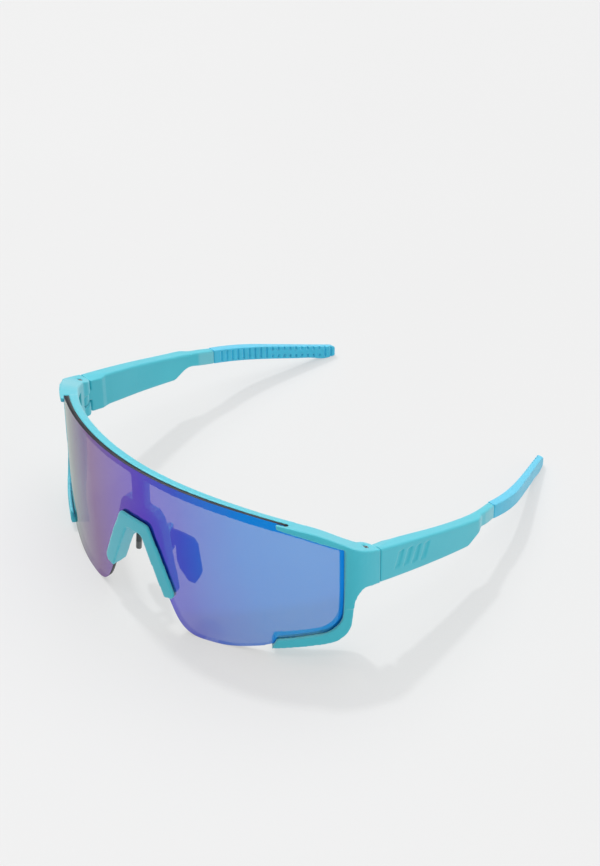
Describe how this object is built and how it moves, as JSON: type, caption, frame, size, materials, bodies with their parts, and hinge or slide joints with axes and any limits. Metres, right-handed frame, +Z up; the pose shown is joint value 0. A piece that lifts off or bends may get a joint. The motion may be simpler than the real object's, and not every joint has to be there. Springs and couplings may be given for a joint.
{
  "type": "wraparound sport sunglasses",
  "caption": "Wraparound sport sunglasses with one mirrored shield lens, a half-rim moulded frame, folding temples, rubber tips and turning nose pads.",
  "frame": {"origin": "on the floor, under the middle of the whole object's bounding box, with the temples open", "axes": "+Z up, +Y back along the temples, +X towards the wearer's left; the object is symmetric about the plane x = 0"},
  "size_m": [0.1466, 0.1564, 0.0622],
  "materials": {
    "frame_plastic": "soft matte turquoise nylon with a fine moulded grain",
    "mirror_lens": "smoke polycarbonate with a violet to blue mirror coating",
    "tip_rubber": "satin sky-blue grip rubber",
    "pad_rubber": "soft matte black",
    "core_metal": "plain rolled strip, hidden inside",
    "screw_metal": "turned, lightly worn",
    "insert_metal": "plain turned"
  },
  "bodies": {
    "frame": {"frame_front": "frame_plastic", "lens": "mirror_lens", "hinge_screw_left": "screw_metal", "hinge_insert_left": "insert_metal", "hinge_screw_right": "screw_metal", "hinge_insert_right": "insert_metal"},
    "temple_assembly_left": {"temple_left": "frame_plastic", "temple_tip_left": "tip_rubber", "temple_core_left": "core_metal"},
    "pad_left": {"nose_pad_left": "pad_rubber", "nose_pad_core_left": "core_metal"},
    "temple_assembly_right": {"temple_right": "frame_plastic", "temple_tip_right": "tip_rubber", "temple_core_right": "core_metal"},
    "pad_right": {"nose_pad_right": "pad_rubber", "nose_pad_core_right": "core_metal"}
  },
  "joints": [
    {"name": "fold_left", "type": "hinge", "parent": "frame", "child": "temple_assembly_left", "pos_m": [0.068, -0.03809, 0.0347], "axis": [0, 0, 1], "range_deg": [0, 88]},
    {"name": "fold_right", "type": "hinge", "parent": "frame", "child": "temple_assembly_right", "pos_m": [-0.068, -0.03809, 0.0347], "axis": [0, 0, -1], "range_deg": [0, 80]},
    {"name": "pad_turn_left", "type": "hinge", "parent": "frame", "child": "pad_left", "pos_m": [0.0074, -0.06809, 0.031], "axis": [0, 0, 1], "range_deg": [-8, 8]},
    {"name": "pad_turn_right", "type": "hinge", "parent": "frame", "child": "pad_right", "pos_m": [-0.0074, -0.06809, 0.031], "axis": [0, 0, -1], "range_deg": [-8, 8]}
  ]
}
